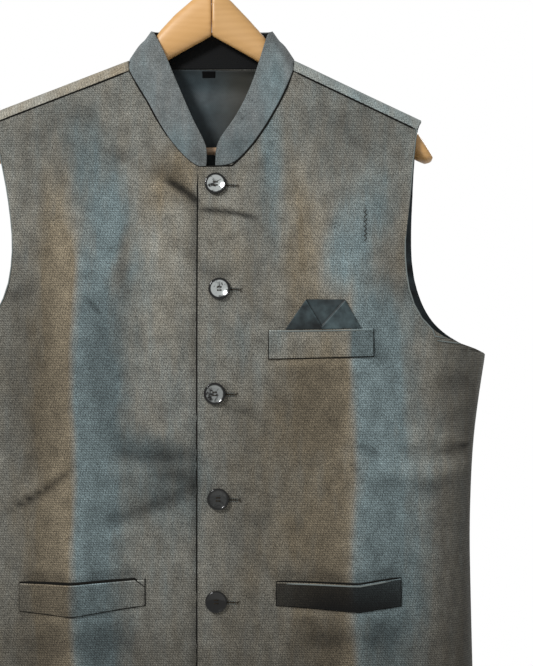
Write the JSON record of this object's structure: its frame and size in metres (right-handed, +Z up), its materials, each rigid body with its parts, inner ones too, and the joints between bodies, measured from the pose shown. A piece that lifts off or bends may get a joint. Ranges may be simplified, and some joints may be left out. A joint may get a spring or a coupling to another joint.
{
  "type": "nehru jacket on a wooden hanger",
  "caption": "Sleeveless band-collar jacket in shot grey-olive textured cloth, buttoned, with a chest welt and pocket square and two lower welts, hung on a wooden hanger.",
  "frame": {"origin": "underside of the hanger hook's crown, where a rail carries it", "axes": "+Z up, +X towards the wearer's left, so the front faces -Y"},
  "size_m": [0.566, 0.0826, 0.8637],
  "materials": {
    "shell_cloth": "matt textured weave with a faint shot sheen",
    "collar_cloth": "matt textured weave",
    "lining_satin": "satin",
    "square_satin": "satin",
    "label_weave": "matt",
    "button_resin": "polished, four holes",
    "hanger_wood": "satin lacquer",
    "hook_steel": "polished"
  },
  "bodies": {
    "root": {"front_left": "shell_cloth", "front_right": "shell_cloth", "back": "shell_cloth", "chest_welt": "shell_cloth", "welt_left": "shell_cloth", "welt_right": "shell_cloth", "collar": "collar_cloth", "back_lining": "lining_satin", "neck_label": "label_weave", "pocket_square": "square_satin", "hanger_arm_left": "hanger_wood", "hanger_arm_right": "hanger_wood", "hanger_bar": "hanger_wood", "hanger_hook": "hook_steel", "button_1": "button_resin", "button_2": "button_resin", "button_3": "button_resin", "button_4": "button_resin", "button_5": "button_resin"}
  },
  "joints": []
}
